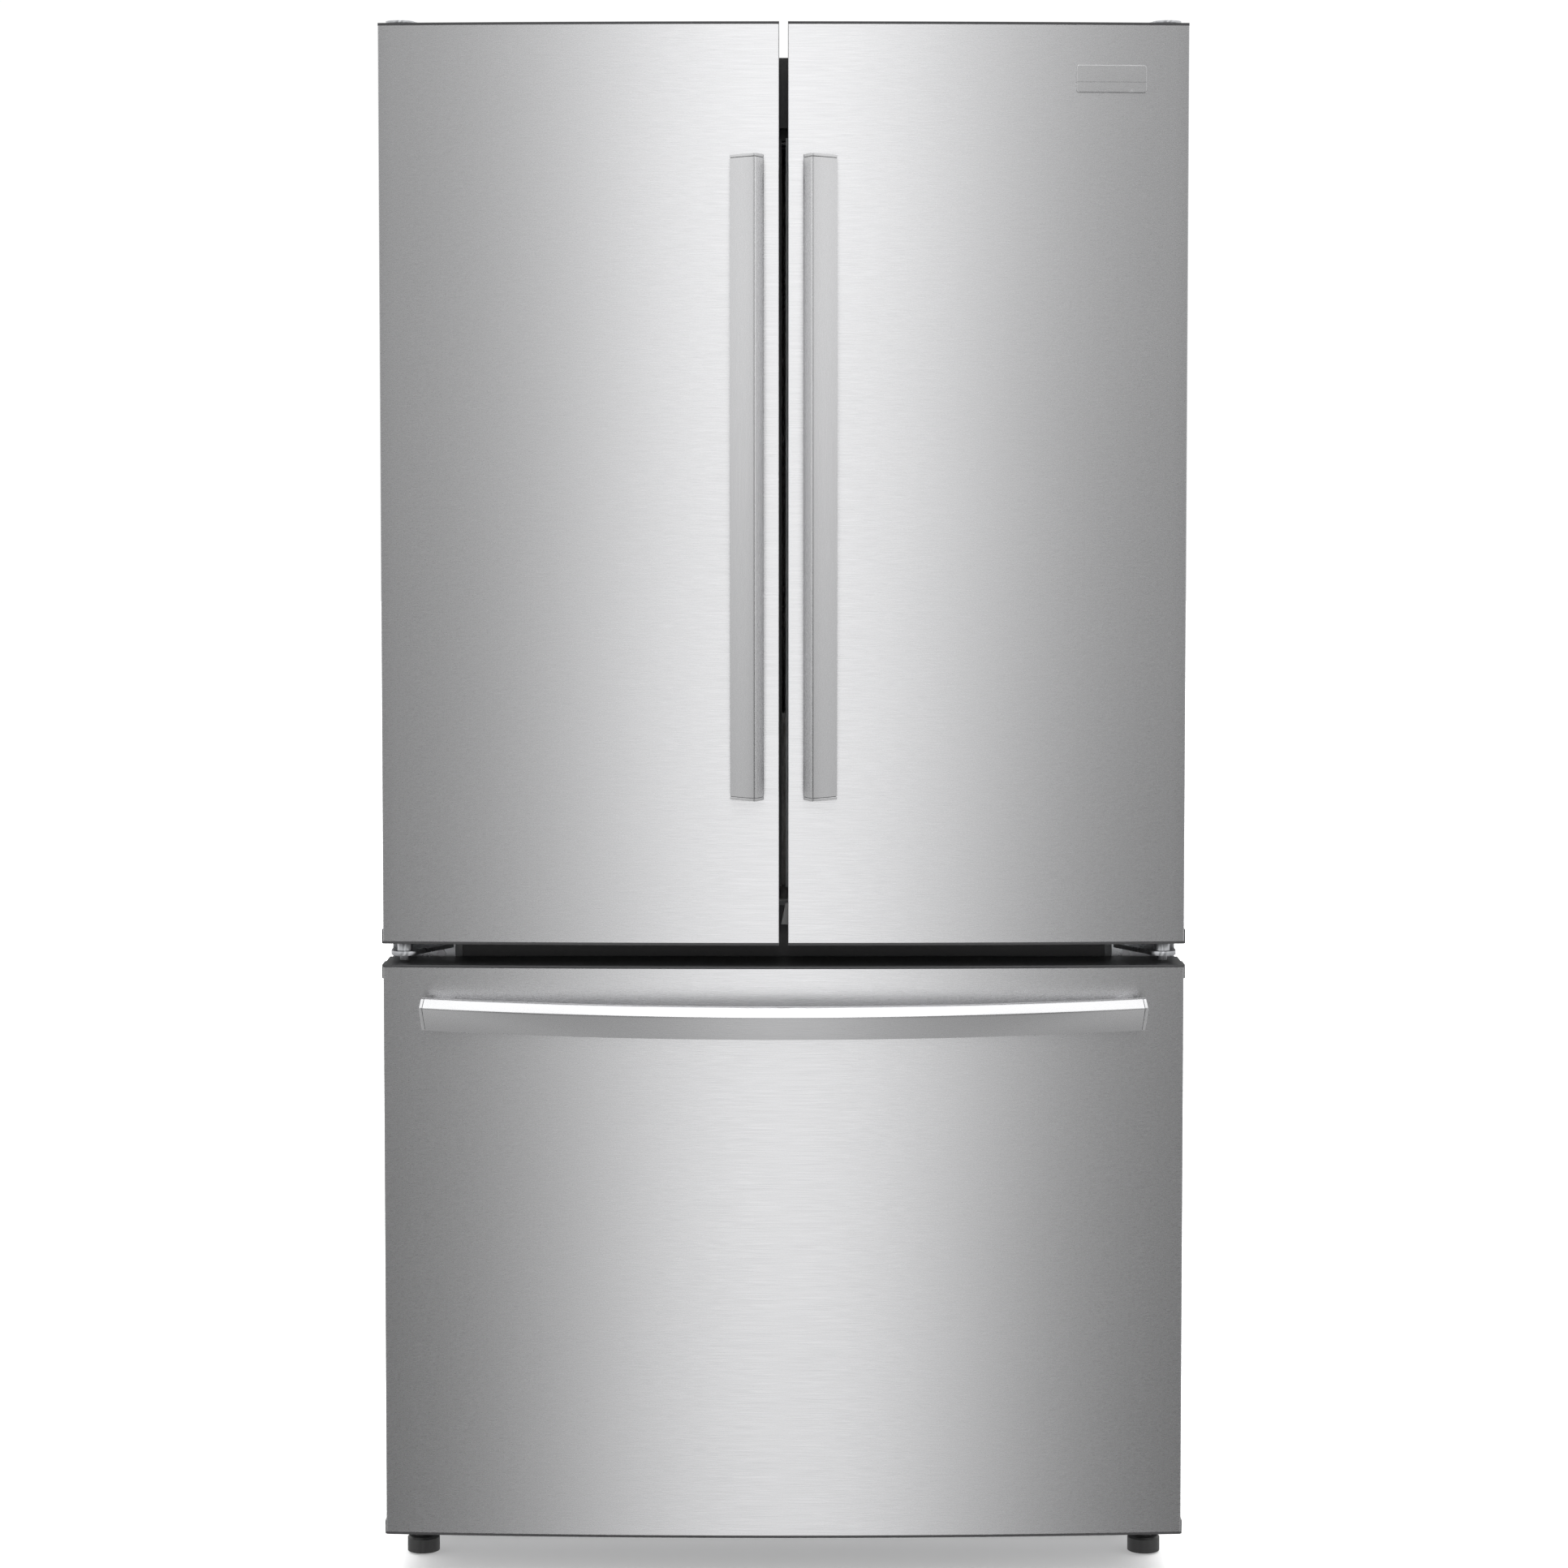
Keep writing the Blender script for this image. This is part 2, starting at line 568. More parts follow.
def makeHandle(node, upright, cfg=barHandle):
    lo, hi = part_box(node)
    middle = (lo + hi) / 2
    if not upright:          # a leaning bar's box isn't level with its posts
        feet = [v.co.z for v in nodes[node].data.vertices if v.co.y > hi.y - 0.0004]
        middle.z = (min(feet) + max(feet)) / 2
    length = cfg["doorLength"] if upright else cfg["drawerLength"]
    bow = cfg["doorBow"] if upright else cfg["drawerBow"]
    flip = -1 if upright and middle.x > 0 else 1
    rear = lo.y + cfg["depth"]
    reach = length / 2 - cfg["postIn"]
    radius = (length ** 2 / 4 + bow ** 2) / (2 * bow)
    barRear = rear + radius - math.sqrt(radius ** 2 - reach ** 2)
    finish = "stainless_handle" if upright else "handle_bar_level"
    bar, caps, necks = barSet(cfg, length, bow, flip)
    for bm in (bar, caps, necks):
        if not upright:
            turnMesh(bm, -90, "Y")
        bmesh.ops.translate(bm, vec=(middle.x, rear, middle.z), verts=bm.verts)
        if not upright:      # lean it about its posts, with the ridge kept at its depth
            lean = math.radians(cfg["drawerLean"])
            back = (barRear - lo.y) * (math.cos(lean) - 1) + cfg["ridge"] * cfg["width"] * math.sin(lean)
            turnMesh(bm, cfg["drawerLean"], "X", (0, barRear, middle.z))
            bmesh.ops.translate(bm, vec=(0, back, 0), verts=bm.verts)
    finishPiece(bar, node + "_bar", finish, bodyOf[node], [node], 28)
    finishPiece(caps, node + "_caps", finish, bodyOf[node], (), 28)
    finishPiece(necks, node + "_necks", "dark_plastic", bodyOf[node], (), 28)
    posts = []
    for side in (-1, 1):
        x = middle.x if upright else middle.x + side * reach
        z = middle.z + side * reach if upright else middle.z
        foot = faceAt(x) + 0.0012
        tall = foot - barRear + 0.004
        posts.append(stackPiece((x - 0.011, z - 0.012), (x + 0.011, z + 0.012), foot, "front", 0.005, [
            (0, 0.0040), (0.0006, 0.0006), (0.0010, 0.0002), (0.0006, 0.0012), (0.0001, tall - 0.006)]))
    finishPiece(joinMeshes(posts), node + "_posts", finish, bodyOf[node], (), 30)


makeHandle("left_door_handle", True)
makeHandle("right_door_handle", True)
makeHandle("drawer_handle", False)
print("handles made")

makersPlate = {
    "thickness": 0.0022,
    "corner": 0.0035,
    "rim": 0.0011,
    "grooveDown": 0.0040,    # the groove's middle, under the plate's middle
    "grooveWidth": 0.0013,
    "grooveDepth": 0.0012,
}


def makeNameplate(cfg=makersPlate):
    lo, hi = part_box("nameplate")
    middle = (lo + hi) / 2
    halfWide, halfTall = 0.040, (hi.z - lo.z) / 2
    bm = outline((-halfWide, -halfTall), (halfWide, halfTall), cfg["corner"], 6)
    rim = cfg["rim"]
    raiseSteps(bm, bm.faces[:][0], [
        (0, cfg["thickness"] - rim), (rim * 0.35, rim * 0.7), (rim * 0.65, rim * 0.3)])
    closeHoles(bm)
    down, half = cfg["grooveDown"], cfg["grooveWidth"] / 2
    for level in (-down - half, -down + half):
        cutThrough(bm, (0, level, 0), (0, 1, 0))
    bm.normal_update()
    groove = [f for f in bm.faces if abs(f.calc_center_median().y + down) < half and f.normal.z > 0.3]
    verts = {v for f in bmesh.ops.extrude_face_region(bm, geom=groove)["geom"]
             if isinstance(f, bmesh.types.BMFace) for v in f.verts}
    bmesh.ops.translate(bm, vec=(0, 0, -cfg["grooveDepth"]), verts=list(verts))
    bmesh.ops.delete(bm, geom=[f for f in groove if f.is_valid], context="FACES_ONLY")
    turnMesh(bm, 90, "X")
    turnMesh(bm, math.degrees(math.asin(middle.x / faceRadius)), "Z")
    bmesh.ops.translate(bm, vec=(middle.x, faceAt(middle.x) + 0.0002, middle.z), verts=bm.verts)
    return finishPiece(bm, "blank_nameplate", "plate_metal", bodyOf["nameplate"], ["nameplate"])


makeNameplate()


# door and drawer backs: liner, gasket, bins

def dykeBox(node):
    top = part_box(node)[1].y
    rim = [v.co for v in nodes[node].data.vertices if v.co.y > top - 1e-4]
    return ((min(c.x for c in rim), min(c.z for c in rim)), (max(c.x for c in rim), max(c.z for c in rim)))


panelLiner = {
    "sheet": 0.002,
    "corner": 0.010,
    "dykeWidth": 0.022,
    "outerCorner": 0.0045,
    "innerCorner": 0.009,
    "rimRadius": 0.0022,
}


def atCorner(edge, box):
    # an edge from front to rear, at a corner of the box of x and z limits
    a, b = edge.verts
    atX = min(abs(a.co.x - box[0][0]), abs(a.co.x - box[1][0])) < 1e-4
    atZ = min(abs(a.co.z - box[0][1]), abs(a.co.z - box[1][1])) < 1e-4
    return atX and atZ and abs(a.co.y - b.co.y) > 0.005


def makeDyke(low, high, level, top, cfg):
    wide = cfg["dykeWidth"]
    bm = stackPiece(low, high, level, "rear", 0, [(0, top - level), (wide, 0), (0, level - top)], True)
    hole = ((low[0] + wide, low[1] + wide), (high[0] - wide, high[1] - wide))
    roundEdges(bm, [e for e in bm.edges if atCorner(e, (low, high))], cfg["outerCorner"], 5)
    roundEdges(bm, [e for e in bm.edges if atCorner(e, hole)], cfg["innerCorner"], 7)
    rim = [e for e in bm.edges if abs(e.verts[0].co.y - top) < 1e-5 and abs(e.verts[1].co.y - top) < 1e-5
           and len(e.link_faces) == 2 and e.calc_face_angle(0) > 1]
    roundEdges(bm, rim, cfg["rimRadius"], 4)
    return bm


def makeLiner(node, cfg=panelLiner):
    lo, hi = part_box(node)
    flange = stackPiece((lo.x, lo.z), (hi.x, hi.z), lo.y, "rear", cfg["corner"], [
        (0, cfg["sheet"] - 0.0005), (0.0005, 0.0005)])
    low, high = dykeBox(node)
    dyke = makeDyke(low, high, lo.y + cfg["sheet"] - 0.0002, hi.y, cfg)
    parts = [flange, dyke]
    if node == "left_door_liner":
        pin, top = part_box("mullion")
        for base in (pin.z + 0.002, top.z - 0.007):
            lug = boxMesh((pin.x - 0.004, pin.y + 0.006, base),
                          (pin.x + 0.012, pin.y + 0.022, base + 0.005))
            uprights = [e for e in lug.edges if abs(e.verts[0].co.z - e.verts[1].co.z) > 0.002]
            roundEdges(lug, uprights, 0.004, 4)
            parts.append(lug)
    name = node.replace("_liner", "_inner_panel")
    return finishPiece(joinMeshes(parts), name, "white_plastic", bodyOf[node], [node], 40)


doorGasket = {
    "corner": 0,             # the rings are welded from mitred lengths
    "width": 0.022,
}


def makeGasket(node, cfg=doorGasket):
    lo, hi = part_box(node)
    if node == "right_door_gasket":
        lo.x += 0.0185       # the soft fin stands outside the ring
    rise = hi.y - lo.y
    bellows = [(0, 0.18), (0.0022, 0.02), (0, 0.14), (-0.0020, 0.04), (0.0004, 0.12), (0.0018, 0.06),
               (-0.0016, 0.10), (0, 0.24), (0.0012, 0.10)]
    steps = [(inwards, up * rise) for inwards, up in bellows]
    across = sum(s[0] for s in steps)
    ridge = cfg["width"] - 2 * across
    steps += [(ridge * 0.5, 0.0004), (ridge * 0.5, -0.0004)]
    steps += [(inwards, -up * rise) for inwards, up in reversed(bellows)]
    ring = stackPiece((lo.x, lo.z), (hi.x, hi.z), lo.y, "rear", cfg["corner"], steps, True, 3)
    parts = [ring]
    if node == "right_door_gasket":
        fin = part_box(node)[0]
        low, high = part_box("mullion")
        parts.append(boxMesh((fin.x, lo.y + 0.004, low.z + 0.008), (lo.x + 0.001, hi.y, high.z - 0.008)))
    return finishPiece(joinMeshes(parts), node + "_bellows", "gasket_rubber", bodyOf[node], [node], 40)


for node in ("left_door_liner", "right_door_liner", "drawer_liner"):
    makeLiner(node)
for node in ("left_door_gasket", "right_door_gasket", "drawer_gasket"):
    makeGasket(node)

doorBin = {
    "count": 3,
    "height": 0.092,
    "corner": 0.014,
    "wall": 0.0026,
    "rim": 0.010,
    "flare": 0.004,
}


def makeBins(node, cfg=doorBin):
    lo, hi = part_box(node)
    gap = (hi.z - lo.z - cfg["height"]) / (cfg["count"] - 1)
    flare, wall, rim = cfg["flare"], cfg["wall"], cfg["rim"]
    body = cfg["height"] - rim - 0.004
    low = (lo.x + flare + 0.004, lo.y + flare + 0.004)
    high = (hi.x - flare - 0.004, hi.y - flare - 0.004)
    tubs = []
    for i in range(cfg["count"]):
        tubs.append(stackPiece(low, high, lo.z + i * gap, "up", cfg["corner"], [
            (-0.003, 0.001), (-0.001, 0.003), (-flare + 0.001, body), (-0.001, 0.001), (0, rim - 0.0015),
            (0.0005, 0.0005), (wall - 0.0005, 0), (0, -rim), (flare, -body), (0.004, -0.002)]))
    name = node.replace("_bins", "_rimmed_bins")
    return finishPiece(joinMeshes(tubs), name, "clear_plastic", bodyOf[node], [node], 40)


makeBins("left_door_bins")
makeBins("right_door_bins")
print("door backs made")

# cabinet wrapper: one folded sheet, open behind and at the two compartments

caseWrapper = {
    "sheet": 0.0012,
    "frontFold": 0.0025,
    "topFold": 0.0050,
    "foldSegments": 5,
}


def makeWrapper(cfg=caseWrapper):
    lo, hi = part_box("outer_case")
    bm = boxMesh(lo, hi)
    front = [e for e in bm.edges if all(abs(v.co.y - lo.y) < 1e-6 for v in e.verts)]
    roundEdges(bm, front, cfg["frontFold"], cfg["foldSegments"])
    sides = [e for e in bm.edges if abs(e.verts[0].co.y - e.verts[1].co.y) > 0.3
             and max(v.co.z for v in e.verts) > hi.z - 1e-5
             and min(abs(v.co.x) for v in e.verts) > hi.x - 1e-5]
    roundEdges(bm, sides, cfg["topFold"], cfg["foldSegments"])
    sheet = cfg["sheet"]
    rooms = []
    for name in ("fresh_food_liner", "freezer_liner"):
        low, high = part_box(name)
        rooms.append((low.x + sheet, low.z + sheet, high.x - sheet, high.z - sheet))
    cuts = [((x, 0, 0), (1, 0, 0)) for x in rooms[0][0::2]]
    cuts += [((0, 0, z), (0, 0, 1)) for room in rooms for z in room[1::2]]
    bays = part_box("compressor")[0].y - 0.023
    cuts.append(((0, bays, 0), (0, 1, 0)))
    for place, normal in cuts:
        cutThrough(bm, place, normal)
    gone = []
    for face in bm.faces:
        c = face.calc_center_median()
        inRoom = c.y < lo.y + 1e-4 and any(a < c.x < x1 and b < c.z < z1 for a, b, x1, z1 in rooms)
        if inRoom or c.y > hi.y - 1e-4 or (c.z < lo.z + 1e-4 and c.y > bays):
            gone.append(face)
    bmesh.ops.delete(bm, geom=gone, context="FACES")
    piece = finishPiece(bm, "cabinet_wrapper", "case_paint", bodyOf["outer_case"], ["outer_case"], 30, False)
    wall = piece.modifiers.new("sheet", "SOLIDIFY")
    wall.thickness = sheet
    wall.offset = -1
    wall.use_even_offset = True
    piece.modifiers.new("even_normals", "WEIGHTED_NORMAL").keep_sharp = True


makeWrapper()

backSheet = {
    "fields": 4,
    "fieldMargin": 0.045,
    "rise": 0.0018,
    "screwPitch": 0.165,
    "screwRadius": 0.0042,
}


def makeBackPanel(cfg=backSheet):
    lo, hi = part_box("back_panel")
    bm = boxMesh(lo, hi)
    step = (hi.z - lo.z) / cfg["fields"]
    for i in range(1, cfg["fields"]):
        cutThrough(bm, (0, 0, lo.z + i * step), (0, 0, 1))
    cutThrough(bm, (0, 0, 0), (1, 0, 0))
    fields = [f for f in bm.faces if f.normal.y > 0.9]
    bmesh.ops.inset_individual(bm, faces=fields, thickness=cfg["fieldMargin"], depth=0)
    bmesh.ops.inset_individual(bm, faces=fields, thickness=0.004, depth=cfg["rise"])
    bmesh.ops.inset_individual(bm, faces=fields, thickness=0.012, depth=0)
    bmesh.ops.inset_individual(bm, faces=fields, thickness=0.003, depth=-cfg["rise"] * 0.6)
    return finishPiece(bm, "ribbed_back_panel", "galvanised", bodyOf["back_panel"], ["back_panel"], 20)


def screwHead(at, radius):
    bm = revolve([(0, 0.45 * radius), (0.55 * radius, 0.42 * radius), (0.9 * radius, 0.25 * radius),
                  (radius, 0), (radius, -0.2 * radius)], (0, 0, 0), "Z", 12)
    dish = [f for f in bm.faces if f.normal.z > 0.9 and f.calc_center_median().length < radius]
    if dish:
        bmesh.ops.inset_region(bm, faces=dish, thickness=radius * 0.2, depth=-radius * 0.15)
    turnMesh(bm, -90, "X")
    bmesh.ops.translate(bm, vec=at, verts=bm.verts)
    return bm


def makeBackScrews(cfg=backSheet):
    lo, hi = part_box("back_panel")
    low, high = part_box("machine_cover")
    places = []
    rows = int((hi.z - lo.z - 0.04) / cfg["screwPitch"])
    for i in range(rows + 1):
        z = lo.z + 0.02 + i * (hi.z - lo.z - 0.04) / rows
        places += [(side * (hi.x - 0.014), z) for side in (-1, 1)]
    places += [(x, hi.z - 0.016) for x in (-0.3, -0.1, 0.1, 0.3)]
    places += [(x, lo.z + 0.016) for x in (-0.3, -0.1, 0.1, 0.3)]
    places += [(side * (high.x - 0.014), z) for side in (-1, 1) for z in (low.z + 0.03, high.z - 0.03)]
    heads = [screwHead((x, hi.y, z), cfg["screwRadius"]) for x, z in places]
    return finishPiece(joinMeshes(heads), "back_panel_screws", "bolt_steel", bodyOf["back_panel"])


makeBackPanel()
makeBackScrews()
print("cabinet shell made")

levellingFoot = {
    "notches": 12,
    "notchDepth": 0.0016,
    "chamfer": 0.0022,
    "padHeight": 0.020,
    "studRadius": 0.0042,
    "threadPitch": 0.0022,
    "threadHeight": 0.0008,
}


def makeFoot(node, cfg=levellingFoot):
    lo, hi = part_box(node)
    at = Vector(((lo.x + hi.x) / 2, (lo.y + hi.y) / 2, lo.z))
    radius = (hi.x - lo.x) / 2
    bm = bmesh.new()
    bmesh.ops.create_circle(bm, cap_ends=True, segments=cfg["notches"] * 6, radius=radius - cfg["chamfer"])
    face = bm.faces[:][0]
    if face.normal.z < 0:
        face.normal_flip()
    chamfer = cfg["chamfer"]
    top = cfg["padHeight"]
    raiseSteps(bm, face, [(-chamfer, chamfer), (0, top - 2 * chamfer), (chamfer, chamfer),
                          (radius * 0.35, 0), (0.001, 0.0015)])
    closeHoles(bm)
    bm.normal_update()
    flanks = [f for f in bm.faces if abs(f.normal.z) < 0.1 and f.calc_area() > 1e-6
              and f.calc_center_median().xy.length > radius * 0.9]
    flanks.sort(key=lambda f: math.atan2(f.calc_center_median().y, f.calc_center_median().x))
    notched = [f for i, f in enumerate(flanks) if i % 6 in (0, 1)]
    bmesh.ops.inset_region(bm, faces=notched, thickness=0.0006, depth=-cfg["notchDepth"])
    stud = revolve([(0, top), (cfg["studRadius"], top), (cfg["studRadius"], hi.z - lo.z - 0.001),
                    (cfg["studRadius"] - 0.001, hi.z - lo.z), (0, hi.z - lo.z)], (0, 0, 0), "Z", 24)
    thread = bmesh.new()
    r, p, h = cfg["studRadius"], cfg["threadPitch"], cfg["threadHeight"]
    verts = [thread.verts.new((x, 0, top + 0.001 + z)) for x, z in
             ((r - 0.0002, 0), (r + h, p * 0.45), (r + h, p * 0.55), (r - 0.0002, p))]
    for one, other in zip(verts, verts[1:]):
        thread.edges.new((one, other))
    turns = int((hi.z - lo.z - top - 0.004) / p)
    bmesh.ops.spin(thread, geom=thread.verts[:] + thread.edges[:], cent=(0, 0, 0), axis=(0, 0, 1),
                   dvec=(0, 0, p / 20), angle=math.tau * turns, steps=20 * turns, use_duplicate=False)
    whole = joinMeshes([bm, stud, thread])
    bmesh.ops.translate(whole, vec=at, verts=whole.verts)
    return finishPiece(whole, node + "_notched", "foot_plastic", bodyOf[node], [node], 40)


makeFoot("left_foot")
makeFoot("right_foot")

rearRoller = {
    "width": 0.018,
    "hubRadius": 0.0125,
    "axleRadius": 0.0042,
    "tread": 0.0022,
}


def makeRollers(cfg=rearRoller):
    lo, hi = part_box("rear_rollers")
    radius = (hi.z - lo.z) / 2
    wide, hub, t = cfg["width"], cfg["hubRadius"], cfg["tread"]
    rollers = []
    for x in (lo.x, hi.x - wide):
        at = (x, (lo.y + hi.y) / 2, (lo.z + hi.z) / 2)
        loop = [(cfg["axleRadius"], 0), (hub * 0.6, 0), (hub * 0.7, 0.002), (hub, 0.002), (hub + 0.001, 0),
                (radius - t, 0), (radius - t * 0.3, t * 0.3), (radius, t), (radius, wide / 2 - 0.001),
                (radius - 0.0008, wide / 2)]
        loop += [(r, wide - a) for r, a in reversed(loop[:-1])]
        rollers.append(revolve(loop + [loop[0]], at, "X", 40, False))
    return finishPiece(joinMeshes(rollers), "rear_roller_tyres", "tyre_rubber", bodyOf["rear_rollers"],
                       ["rear_rollers"], 30)


makeRollers()

fanBlades = {
    "count": 5,
    "hubShare": 0.30,
    "twistRoot": 52,
    "twistTip": 26,
    "chord": 0.55,       # blade chord at its tip, as a share of the radius
    "thickness": 0.0014,
}


def jointPlace(name):
    return Vector(next(j["pos_m"] for j in frame["joints"] if j["name"] == name))


def makeFan(node, axis, joint, cfg=fanBlades):
    lo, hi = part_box(node)
    place = jointPlace(joint)
    radius = max(hi.z - place.z, place.z - lo.z)
    depth = getattr(hi - lo, axis.lower())
    setattr(place, axis.lower(), getattr((lo + hi) / 2, axis.lower()))
    hub = radius * cfg["hubShare"]
    limit = depth * 0.45
    parts = []
    for i in range(cfg["count"]):
        blade = bmesh.new()
        bmesh.ops.create_grid(blade, x_segments=10, y_segments=6, size=0.5)
        for v in blade.verts:
            share = v.co.x + 0.5
            out = hub * 0.9 + share * (radius - hub * 0.9)
            chord = cfg["chord"] * radius * (0.62 + 0.38 * math.sin(share * 2.2))
            twist = math.radians(cfg["twistRoot"] + (cfg["twistTip"] - cfg["twistRoot"]) * share)
            along = v.co.y * chord
            camber = (0.25 - v.co.y ** 2) * 0.12 * chord
            bend = along * math.cos(twist) / out
            height = along * math.sin(twist) * 0.55 + camber
            v.co = (out * math.cos(bend), out * math.sin(bend), max(-limit, min(limit, height)))
        bmesh.ops.recalc_face_normals(blade, faces=blade.faces)
        bmesh.ops.solidify(blade, geom=blade.faces[:], thickness=cfg["thickness"])
        turnMesh(blade, i * 360 / cfg["count"], "Z")
        parts.append(blade)
    half = depth / 2
    parts.append(revolve([(0, half * 0.7), (hub * 0.5, half * 0.7), (hub * 0.6, half), (hub * 0.86, half),
                          (hub, half * 0.7), (hub, -half), (hub * 0.8, -half), (hub * 0.7, -half * 0.6),
                          (0, -half * 0.6)], (0, 0, 0), "Z", 36))
    whole = joinMeshes(parts)
    if axis == "X":
        turnMesh(whole, 90, "Y")
    else:
        turnMesh(whole, -90, "X")
    bmesh.ops.translate(whole, vec=place, verts=whole.verts)
    name = node.replace("_fan_blades", "_fan_wheel")
    return finishPiece(whole, name, "fan_plastic", bodyOf[node], [node], 30)


makeFan("evaporator_fan_blades", "Y", "evaporator_fan_spin")
makeFan("condenser_fan_blades", "X", "condenser_fan_spin")

compressorPot = {
    "shellShare": 0.93,      # shell radius as a share of half the node's width
    "flangeAt": 0.46,        # the weld's height, as a share of the whole
    "plateThickness": 0.003,
    "grommetRadius": 0.010,
}


def makeCompressor(cfg=compressorPot):
    lo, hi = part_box("compressor")
    middle = (lo + hi) / 2
    r = (hi.x - lo.x) / 2 * cfg["shellShare"]
    z0, z1 = lo.z + 0.012, hi.z
    seam = z0 + (z1 - z0) * cfg["flangeAt"]
    shell = revolve([
        (0, z0), (r * 0.72, z0), (r * 0.88, z0 + 0.006), (r * 0.94, z0 + 0.020), (r * 0.96, seam - 0.006),
        (r, seam - 0.004), (r + 0.003, seam - 0.002), (r + 0.003, seam + 0.002), (r, seam + 0.004),
        (r * 0.985, seam + 0.010), (r * 0.98, z1 - 0.052), (r * 0.94, z1 - 0.034), (r * 0.84, z1 - 0.018),
        (r * 0.66, z1 - 0.007), (r * 0.40, z1 - 0.002), (0, z1)], (middle.x, middle.y, 0), "Z", 72)
    finishPiece(shell, "compressor_pot", "compressor_shell", bodyOf["compressor"], ["compressor"], 40)
    feet, grommets = [], []
    reach = (hi.x - lo.x) / 2 - 0.013
    for sx in (-1, 1):
        for sy in (-1, 1):
            x = middle.x + sx * reach * 0.86
            y = middle.y + sy * reach * 0.86
            feet.append(stackPiece((x - 0.016, y - 0.016), (x + 0.016, y + 0.016), z0 + 0.002, "up", 0.008, [
                (0, cfg["plateThickness"] - 0.0006), (0.0006, 0.0006)]))
            g = cfg["grommetRadius"]
            grommets.append(revolve([(0, lo.z), (g, lo.z), (g, lo.z + 0.006), (g * 0.75, lo.z + 0.008),
                                     (g * 0.75, lo.z + 0.013), (g, lo.z + 0.014), (g, lo.z + 0.019),
                                     (g * 0.5, lo.z + 0.020), (0, lo.z + 0.020)], (x, y, 0), "Z", 24))
    finishPiece(joinMeshes(feet), "compressor_feet", "zinc_plate", bodyOf["compressor"])
    finishPiece(joinMeshes(grommets), "compressor_grommets", "tyre_rubber", bodyOf["compressor"])
    side = middle.x - r * 0.97
    cover = stackPiece((middle.y - 0.022, seam + 0.004), (middle.y + 0.022, seam + 0.050), 0, "up", 0.006, [
        (0, 0.020), (0.0008, 0.0022), (0.0022, 0.0008)])
    sideways = Matrix(((0, 0, -1), (1, 0, 0), (0, 1, 0)))
    bmesh.ops.rotate(cover, cent=(0, 0, 0), matrix=sideways, verts=cover.verts)
    bmesh.ops.translate(cover, vec=(side + 0.010, 0, 0), verts=cover.verts)
    finishPiece(cover, "compressor_terminal_cover", "dark_plastic", bodyOf["compressor"])
    stubs = []
    for dy, height in ((-0.040, 0.050), (0.040, 0.062), (0.052, 0.030)):
        stubs.append(revolve([(0, 0), (0.004, 0), (0.004, 0.030), (0.0032, 0.032), (0, 0.032)],
                             (middle.x + r * 0.72, middle.y + dy, z0 + height), "X", 16))
    finishPiece(joinMeshes(stubs), "compressor_pipe_stubs", "bolt_steel", bodyOf["compressor"])


makeCompressor()
print("machine bay made")

panelButtons = {
    "count": 7,
    "size": (0.018, 0.012),
    "pitch": 0.028,
    "rise": 0.0012,
}


def makeButtons(cfg=panelButtons):
    lo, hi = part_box("control_panel")
    y = (lo.y + hi.y) / 2
    w, h = cfg["size"]
    buttons = []
    for i in range(cfg["count"]):
        x = (i - (cfg["count"] - 1) / 2) * cfg["pitch"]
        button = stackPiece((x - w / 2, y - h / 2), (x + w / 2, y + h / 2), 0, "up", 0.003, [
            (0, cfg["rise"]), (0.0005, 0.0005)])
        bmesh.ops.scale(button, vec=(1, 1, -1), verts=button.verts)
        bmesh.ops.translate(button, vec=(0, 0, lo.z + 0.0016), verts=button.verts)
        buttons.append(button)
    return finishPiece(joinMeshes(buttons), "control_buttons", "white_plastic", bodyOf["control_panel"])


makeButtons()

topTrim = {
    "apronHalf": 0.017,      # half width of the plate seen between the doors
    "apron": 0.0008,
    "lip": 0.009,
    "depth": 0.024,
}


def makeTopTrim(cfg=topTrim):
    lo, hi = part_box("outer_case")
    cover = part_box("hinge_covers")[1].x - 0.082
    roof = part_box("fresh_food_liner")[1].z
    strip = stackPiece((-cover, lo.y - 0.0004), (cover, lo.y + cfg["depth"]), hi.z - 0.0005, "up", 0.002, [
        (0, cfg["lip"] - 0.0015), (0.0004, 0.001), (0.0012, 0.0005)])
    apron = boxMesh((-cfg["apronHalf"], lo.y - cfg["apron"], roof - 0.006),
                    (cfg["apronHalf"], lo.y + 0.0004, hi.z + 0.004))
    finishPiece(joinMeshes([strip, apron]), "top_front_trim", "dark_plastic", bodyOf["outer_case"])
    # guide block that the mullion's foot meets when its door shuts
    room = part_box("fresh_food_liner")[0].z
    block = boxMesh((-0.003, lo.y - 0.0065, room - 0.026), (0.007, lo.y + 0.0004, room - 0.001))
    for v in block.verts:
        if v.co.z > room - 0.01 and v.co.x < 0:
            v.co.x += 0.005
    roundEdges(block, block.edges[:], 0.0006, 2)
    finishPiece(block, "mullion_guide_block", "white_plastic", bodyOf["outer_case"])


makeTopTrim()

lampLens = {
    "ribs": 22,
    "ribRise": 0.0016,
    "corner": 0.010,
}


